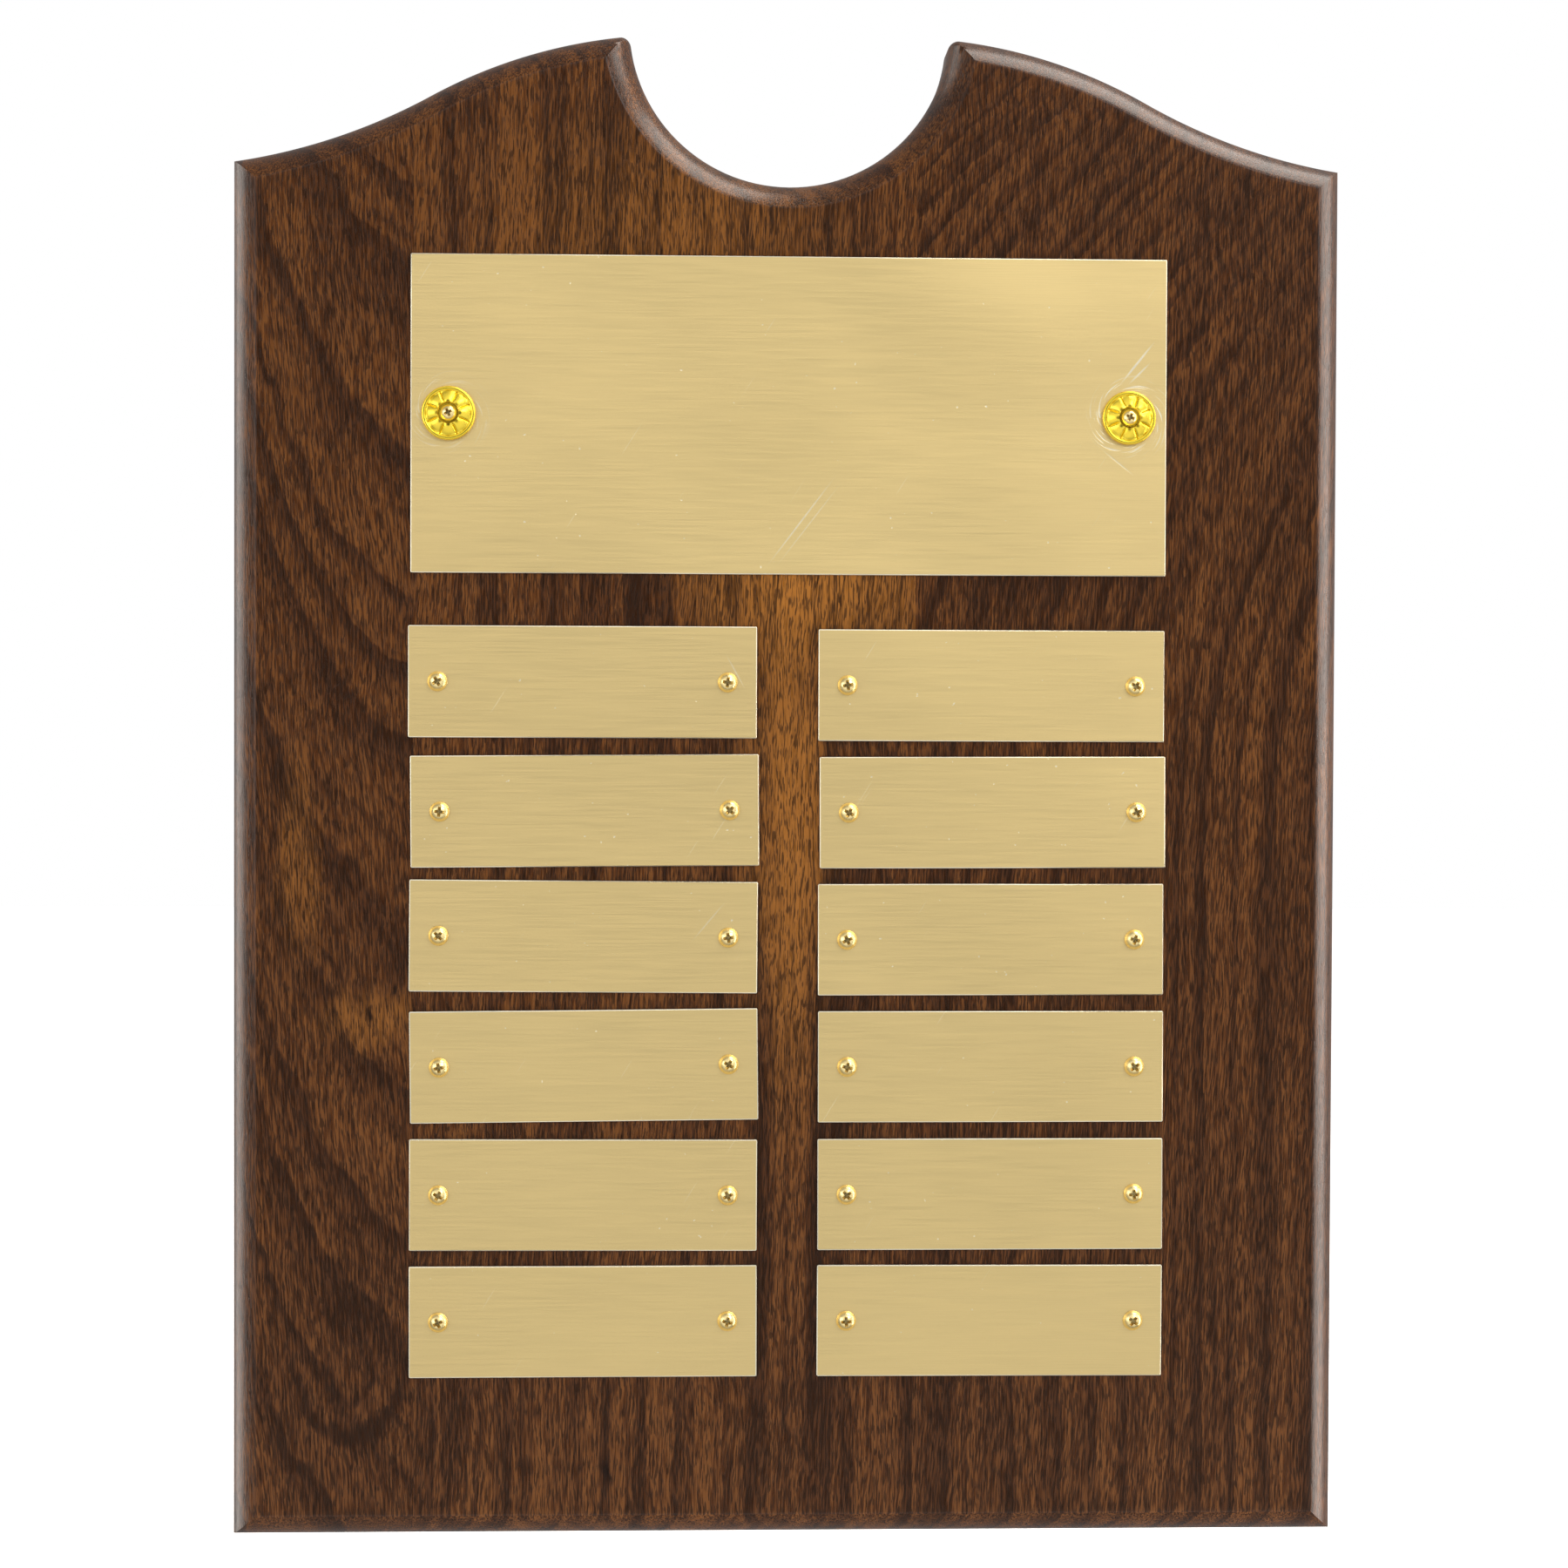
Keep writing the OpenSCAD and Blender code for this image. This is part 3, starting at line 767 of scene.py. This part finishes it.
def screw_blank(name, head_d, head_h, brass):
    """A round-headed wood screw with a cross recess, its seat at the origin."""
    cap_r = (head_d ** 2 / 4 + head_h ** 2) / (2 * head_h)
    shank_r, tip = brass.shank_d / 2, brass.shank_l
    rim = asin(head_d / 2 / cap_r)
    profile = [(0, -tip), (0.2 * MM, -tip), (shank_r, -tip + 2 * shank_r), (shank_r, 0),
               (head_d / 2 - 0.1 * MM, 0), (head_d / 2, 0.08 * MM)]
    profile += [(cap_r * sin(a), head_h - cap_r + cap_r * cos(a))
                for a in spread(rim * 0.94, 0.12, 8)] + [(0, head_h)]
    bm = bmesh.new()
    lathe(bm, profile, 32)
    blank = new_piece(name, bm)
    arm, half = 0.33 * head_d, 0.095 * head_d
    cross = []
    for i in range(4):
        c, s = cos(i * pi / 2), sin(i * pi / 2)
        cross += [(x * c - z * s, x * s + z * c)
                  for x, z in ((half, -half), (arm, -half), (arm, half))]
    bm = bmesh.new()
    prism(bm, cross, -head_h - 0.2 * MM, -0.35 * head_h, scale=0.45)
    driver = new_piece("driver_cutter", bm)
    cut(blank, [driver])
    discard([driver])
    shade(blank, 32)
    return blank


def screws_tree():
    """Puts a screw at every mark, turned by the mark's own turn."""
    tree = bpy.data.node_groups.new("Screws at marks", "GeometryNodeTree")
    for name, kind in (("Marks", "Geometry"), ("Screw", "Object"), ("Scale", "Float"),
                       ("Brass", "Material")):
        tree.interface.new_socket(name=name, in_out="INPUT", socket_type="NodeSocket" + kind)
    tree.interface.new_socket(name="Screws", in_out="OUTPUT", socket_type="NodeSocketGeometry")
    start = add(tree, "NodeGroupInput", out=None).outputs
    screw = add(tree, "GeometryNodeObjectInfo", {"Object": start["Screw"]}, out="Geometry")
    turn = add(tree, "GeometryNodeInputNamedAttribute", {"Name": "turn"}, data_type="FLOAT",
               out="Attribute")
    spin = add(tree, "ShaderNodeCombineXYZ", {"Y": turn})
    placed = add(tree, "GeometryNodeInstanceOnPoints",
                 {"Points": start["Marks"], "Instance": screw, "Rotation": spin,
                  "Scale": start["Scale"]})
    real = add(tree, "GeometryNodeRealizeInstances", placed)
    done = add(tree, "GeometryNodeSetMaterial", {"Geometry": real, "Material": start["Brass"]})
    add(tree, "NodeGroupOutput", done, out=None)
    return tree


def screws_piece(name, places, depth, blank, material):
    """One piece of screws, driven at (x, z, turn) places with their seats at depth."""
    mesh = bpy.data.meshes.new(name)
    mesh.from_pydata([(x, -depth, z) for x, z, turn in places], [], [])
    turns = mesh.attributes.new("turn", "FLOAT", "POINT")
    turns.data.foreach_set("value", [turn for x, z, turn in places])
    piece = bpy.data.objects.new(name, mesh)
    bpy.context.scene.collection.objects.link(piece)
    tree = bpy.data.node_groups.get("Screws at marks") or screws_tree()
    driven = piece.modifiers.new("Screws", "NODES")
    driven.node_group = tree
    set_input(driven, "Screw", blank)
    set_input(driven, "Scale", 1.0)
    set_input(driven, "Brass", material)
    settle(piece)
    return piece


def petal_rows(brass):
    """The rosette's section as (radius, height, groove share), hole edge round to hole edge."""
    bore_r, seat_r, rim_r = 1.2 * MM, 1.75 * MM, 0.45 * MM
    under, seat, top = 0.6 * MM, 1.0 * MM, 2.1 * MM
    base_r = (ROSETTE_HIGH.x - ROSETTE_LOW.x) / 2 - rim_r
    height = ROSETTE_HIGH.y - ROSETTE_LOW.y
    dome_r = (base_r ** 2 + height ** 2) / (2 * height)
    dip = brass.small_head_d / 2 + 0.25 * MM

    def dome(r):
        return top - dome_r + sqrt(dome_r ** 2 - r ** 2)

    rows = [(bore_r, under, 0), (bore_r, seat, 0), (seat_r, seat, 0), (dip, 1.1 * MM, 0),
            (dip + 0.08 * MM, 1.4 * MM, 0),
            (dip + 0.25 * MM, dome(dip + 0.3 * MM) - 0.02 * MM, 0.25)]
    rows += [(r, dome(r), share) for r, share in zip(
        spread(dip + 0.5 * MM, base_r - 0.5 * MM, 8), (0.6, 0.9, 1, 1, 1, 1, 1, 0.9, 0.6))]
    rows += [(base_r + rim_r * cos(a), rim_r + rim_r * sin(a), 0)
             for a in spread(radians(150), radians(-90), 10)]
    return rows + [(base_r - 0.5 * MM, 0.12 * MM, 0), (dip + 0.6 * MM, 1.05 * MM, 0),
                   (seat_r, under, 0)]


def petal_blank(brass):
    """One petal's slice of the rosette, about the Y axis. Its sides meet its
    neighbours' at the bottom of the grooves."""
    half, bulge_h, dent_w = pi / brass.petals, 0.16 * MM, 0.5 * MM
    bm = bmesh.new()
    columns = []
    for turn in spread(-half, half, 12):
        column = []
        for radius, height, share in petal_rows(brass):
            away = radius * (half - abs(turn))
            dent = max(0.0, 1 - away / dent_w) ** 2
            bulge = max(0.0, cos(turn / half * pi * 0.75)) * bulge_h
            lift = height + share * (bulge - dent * brass.groove_depth)
            column.append(bm.verts.new((radius * sin(turn), -lift, radius * cos(turn))))
        columns.append(column)
    for near, far in zip(columns, columns[1:]):
        for i in range(len(near)):
            j = (i + 1) % len(near)
            bm.faces.new((near[i], near[j], far[j], far[i]))
    return new_piece("petal_blank", bm)


def petals_tree():
    """Stands copies of one petal in a ring about the Y axis and joins their sides."""
    tree = bpy.data.node_groups.new("Petals in a ring", "GeometryNodeTree")
    for name, kind in (("Geometry", "Geometry"), ("Petal", "Object"), ("Petals", "Int"),
                       ("Join", "Float"), ("Brass", "Material")):
        tree.interface.new_socket(name=name, in_out="INPUT", socket_type="NodeSocket" + kind)
    tree.interface.new_socket(name="Rosette", in_out="OUTPUT", socket_type="NodeSocketGeometry")
    start = add(tree, "NodeGroupInput", out=None).outputs
    petal = add(tree, "GeometryNodeObjectInfo", {"Object": start["Petal"]}, out="Geometry")
    marks = add(tree, "GeometryNodePoints", {"Count": start["Petals"]})
    number = add(tree, "GeometryNodeInputIndex")
    turn = add(tree, MATH, number, start["Petals"], operation="DIVIDE")
    turn = add(tree, MATH, turn, 2 * pi, operation="MULTIPLY")
    spin = add(tree, "ShaderNodeCombineXYZ", {"Y": turn})
    ring = add(tree, "GeometryNodeInstanceOnPoints",
               {"Points": marks, "Instance": petal, "Rotation": spin})
    real = add(tree, "GeometryNodeRealizeInstances", ring)
    whole = add(tree, "GeometryNodeMergeByDistance",
                {"Geometry": real, "Distance": start["Join"]})
    done = add(tree, "GeometryNodeSetMaterial", {"Geometry": whole, "Material": start["Brass"]})
    add(tree, "NodeGroupOutput", done, out=None)
    return tree


# ---- operators ----

class PLAQUE_OT_boards(bpy.types.Operator):
    """Make the three walnut boards with their routed edge, keyhole and pilot holes"""
    bl_idname = "plaque.boards"
    bl_label = "Walnut Boards"

    def execute(self, context):
        sizes, brass = context.scene.plaque_panel, context.scene.plaque_brass
        panel = panel_solid(sizes)
        cutters = hole_cutters(sizes, brass)
        # Each board's rings, streaks and knots. Its glow ovals are painted sheen, a warm glow of
        # light in the figure.
        looks = {
            "left": dict(
                lean=radians(3), slope=(0, 1), sweep=(87, -112, 21.7), ring=27, wave=13,
                tone=0.60, weights=(0.5, 0.50, 0.14, 0.5),
                painted_sheen=[((-99, -14), (6, 30), 0.4), ((-84, -47), (16, 8), 0.4)],
                knots=[((-79, -40.5), (0.9, 1.8)), ((-84, -45.5), (0.8, 2.2))],
                streaks=[((-86, -104), (12, 17), 0.22)],
                arcs=[((-88, -95), (16, 43), 0.6), ((-88, -97), (9, 32), 0.3)]),
            "centre": dict(
                lean=radians(-1.2), slope=(1, 0.015), ring=8, wave=5,
                tone=0.62, weights=(0.5, 0.34, 0.15, 2.3),
                painted_sheen=[((4, 42), (36, 27), 1.0), ((0, 4), (14, 66), 0.72),
                      ((1, -30), (9, 56), 0.45), ((-24, 112), (50, 34), 0.35)],
                knots=[((-36.2, -138), (1.2, 2.4))],
                streaks=[((-66, -125), (3, 28), 0.4), ((-44, 122), (4, 26), 0.3),
                         ((8, -120), (3, 26), 0.25), ((-31, 38), (4, 12), 0.6)]),
            "right": dict(
                lean=radians(-2), slope=(1, 0), bow=(0.0035, -10), ring=7.5, wave=5,
                tone=0.56, weights=(0.4, 0.42, 0.14, 0.8),
                streaks=[((86.5, -115), (1.6, 36), 0.35), ((52, 42), (30, 8), 0.25)]),
        }
        spans = {"left": (None, LEFT_JOINT), "centre": (LEFT_JOINT, RIGHT_JOINT),
                 "right": (RIGHT_JOINT, None)}
        for place in BOARDS:
            bm = panel.copy()
            keep_between(bm, *spans[place])
            piece = new_piece(f"walnut_board_{place}", bm)
            cut(piece, cutters if place == "centre" else cutters[:1])
            shade(piece, 26)
            wood = walnut_board(f"Walnut, satin lacquered, {place} board", **looks[place])
            finish_piece(piece, wood, "walnut", f"board_{place}")
        panel.free()
        discard(cutters)
        return {"FINISHED"}


class PLAQUE_OT_plates(bpy.types.Operator):
    """Make the brushed brass header plate and the twelve name plates"""
    bl_idname = "plaque.plates"
    bl_label = "Brass Plates"

    def execute(self, context):
        brass = context.scene.plaque_brass
        material = brushed_brass()
        size = (HEADER_HIGH.x - HEADER_LOW.x, HEADER_HIGH.z - HEADER_LOW.z)
        holes = [x - middle_of("header_plate")[0] for x, _, _ in rosette_places()]
        header = plate_piece("brass_header_plate", middle_of("header_plate"), size, 0, holes,
                             brass)
        finish_piece(header, material, "brass_sheet", "header_plate")
        reach = brass.name_w / 2 - brass.screw_inset
        for column in COLUMNS:
            turns = brass.left_turns if column == "left" else brass.right_turns
            for row in range(ROWS):
                node = f"name_plate_{column}_{row + 1}"
                plate = plate_piece("brass_" + node, middle_of(node),
                                    (brass.name_w, brass.name_h), turns[row],
                                    (-reach, reach), brass)
                finish_piece(plate, material, "brass_sheet", node)
        return {"FINISHED"}


class PLAQUE_OT_rosettes(bpy.types.Operator):
    """Make the two pressed rosettes from a ring of petals"""
    bl_idname = "plaque.rosettes"
    bl_label = "Rosettes"

    def execute(self, context):
        brass, colours = context.scene.plaque_brass, context.scene.plaque_colours
        material = bright_brass("Brass, pressed and polished", colours.bright_brass, 0.25,
                                PRESSED_CREASE_SHADE)
        petal = petal_blank(brass)
        for side, (x, z, _) in zip(COLUMNS, rosette_places()):
            piece = bpy.data.objects.new(f"brass_rosette_{side}",
                                         bpy.data.meshes.new(f"brass_rosette_{side}"))
            context.scene.collection.objects.link(piece)
            ring = piece.modifiers.new("Petals", "NODES")
            ring.node_group = bpy.data.node_groups.get("Petals in a ring") or petals_tree()
            for name, value in (("Petal", petal), ("Petals", brass.petals),
                                ("Join", 0.01 * MM), ("Brass", material)):
                set_input(ring, name, value)
            settle(piece)
            piece.data.transform(Matrix.Translation((x, -PANEL_T - SHEET_T, z)))
            shade(piece, 50)
            finish_piece(piece, None, "brass_rosette", f"rosette_{side}")
        discard([petal])
        return {"FINISHED"}


class PLAQUE_OT_screws(bpy.types.Operator):
    """Drive the brass screws of the name plates and of the rosettes"""
    bl_idname = "plaque.screws"
    bl_label = "Brass Screws"

    def execute(self, context):
        brass, colours = context.scene.plaque_brass, context.scene.plaque_colours
        material = bright_brass("Brass screws, turned and polished", colours.screw_brass,
                                0.26, TURNED_CREASE_SHADE)
        head_h = SCREWS_HIGH.y - SCREWS_LOW.y - brass.shank_l
        blank = screw_blank("screw_blank", brass.head_d, head_h, brass)
        for column in COLUMNS:
            piece = screws_piece(f"brass_screws_{column}_column", screw_places(brass, column),
                                 PANEL_T + SHEET_T, blank, material)
            finish_piece(piece, None, "brass_screw", f"{column}_column_screws")
        small = screw_blank("small_screw_blank", brass.small_head_d, 0.35 * brass.small_head_d,
                            brass)
        seat = -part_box("rosette_screws")[1].y + brass.shank_l
        piece = screws_piece("brass_screws_rosettes", rosette_places(), seat, small, material)
        finish_piece(piece, None, "brass_screw", "rosette_screws")
        discard([blank, small])
        return {"FINISHED"}


class PLAQUE_OT_stage(bpy.types.Operator):
    """Set up the floor, the soft studio light and the camera"""
    bl_idname = "plaque.stage"
    bl_label = "Studio"

    def execute(self, context):
        scene, stage = context.scene, context.scene.plaque_stage
        bm = bmesh.new()
        half, top = 3, PANEL_LOW.z - 50 * MM
        low = top - 12 * MM
        prism(bm, [(-half, low), (half, low), (half, top), (-half, top)], half, -half)
        floor = new_piece("studio_floor", bm)
        # Matt white card: nearly all light comes back, evenly.
        card, tree = new_material("White card, matt")
        mottle = grains(tree, in_millimetres(tree), (0.01, 0.01, 0.01))
        white = add(tree, MIX, {0: mottle, 6: linear("#FBFBFA"), 7: linear("#F7F7F6")},
                    **AS_COLOUR)
        shader = add(tree, "ShaderNodeBsdfPrincipled",
                     {"Base Color": white, "Roughness": 0.9, "Emission Color": (1, 1, 1, 1),
                      "Emission Strength": 0.68})
        add(tree, "ShaderNodeOutputMaterial", {"Surface": shader}, out=None)
        floor.data.materials.append(card)
        floor.visible_glossy = False

        world = bpy.data.worlds.new("White studio")
        world.use_nodes = True
        world.node_tree.nodes.clear()
        tree = world.node_tree
        # A ring of white light stands in front, dim in its middle, behind the camera.
        way = add(tree, "ShaderNodeTexCoord", out="Generated")
        front = add(tree, VECTOR, way, (0, -1, 0), operation="DOT_PRODUCT", out="Value")
        ring = add(tree, RANGE, front, 0.2, 0.6, 0.34, 1.05, **SMOOTH)
        dim = add(tree, RANGE, front, 0.87, 0.96, 1.0, 0.04, **SMOOTH)
        room = add(tree, MATH, ring, dim, operation="MULTIPLY")
        seen = add(tree, "ShaderNodeLightPath", out="Is Camera Ray")
        strength = add(tree, RANGE, seen, 0.0, 1.0, room, 1.0, **SMOOTH)
        light = add(tree, "ShaderNodeBackground", {"Color": (1, 1, 1, 1), "Strength": strength})
        add(tree, "ShaderNodeOutputWorld", {"Surface": light}, out=None)
        scene.world = world
        scene.view_settings.view_transform = "Standard"

        for name, at, size, power in (
                ("Key softbox", (0.62, -0.75, 0.72), (0.55, 0.55), stage.key),
                ("Fill softbox", (-0.85, -0.55, 0.15), (0.60, 0.60), stage.fill),
                ("Right edge light", (0.90, 0.10, 0), (0.45, 1.5), stage.edges * 1.9),
                ("Left edge light", (-0.82, 0.45, 0), (0.45, 1.5), stage.edges * 0.75),
                ("Top edge light", (0.42, 0.10, 0.92), (0.60, 0.60), stage.edges * 1.1)):
            lamp = bpy.data.lights.new(name, "AREA")
            lamp.shape, lamp.energy = "RECTANGLE", power
            lamp.size, lamp.size_y = size
            lamp.color = EDGE_WARMTH if "edge" in name else (1.0, 1.0, 1.0)
            box = bpy.data.objects.new(name, lamp)
            box.location = at
            box.rotation_euler = (-Vector(at)).to_track_quat("-Z", "Y").to_euler()
            scene.collection.objects.link(box)

        camera = bpy.data.objects.new("Camera", bpy.data.cameras.new("Camera"))
        camera.data.lens, camera.data.sensor_width = stage.camera_lens, 36
        right, ahead, up = Euler(stage.camera_turn, "XYZ").to_matrix()
        turn = Matrix((right, up, -ahead)).transposed()
        camera.matrix_world = Matrix.Translation(stage.camera_at) @ turn.to_4x4()
        scene.collection.objects.link(camera)
        scene.camera = camera
        return {"FINISHED"}


class PLAQUE_PT_panel(bpy.types.Panel):
    """Lists the plaque's pieces"""
    bl_idname = "PLAQUE_PT_panel"
    bl_label = "Wall Plaque"
    bl_space_type = "VIEW_3D"
    bl_region_type = "UI"
    bl_category = "Plaque"

    def draw(self, context):
        for operator in OPERATORS:
            self.layout.operator(operator.bl_idname)
        for group in ("plaque_panel", "plaque_brass", "plaque_colours", "plaque_stage"):
            box = self.layout.box()
            settings = getattr(context.scene, group)
            for name in settings.bl_rna.properties.keys():
                if name not in ("rna_type", "name"):
                    box.prop(settings, name)


GROUPS = {"plaque_panel": PlaquePanelSizes, "plaque_brass": PlaqueBrassSizes,
          "plaque_colours": PlaqueColours, "plaque_stage": PlaqueStage}
OPERATORS = (PLAQUE_OT_boards, PLAQUE_OT_plates, PLAQUE_OT_rosettes, PLAQUE_OT_screws,
             PLAQUE_OT_stage)
CLASSES = tuple(GROUPS.values()) + OPERATORS + (PLAQUE_PT_panel,)


def register():
    for cls in CLASSES:
        bpy.utils.register_class(cls)
    for name, group in GROUPS.items():
        setattr(bpy.types.Scene, name, bpy.props.PointerProperty(type=group))


def unregister():
    for name in GROUPS:
        delattr(bpy.types.Scene, name)
    for cls in reversed(CLASSES):
        bpy.utils.unregister_class(cls)


def main():
    register()
    bpy.ops.plaque.boards()
    bpy.ops.plaque.plates()
    bpy.ops.plaque.rosettes()
    bpy.ops.plaque.screws()
    bpy.ops.plaque.stage()


if __name__ == "__main__":
    main()
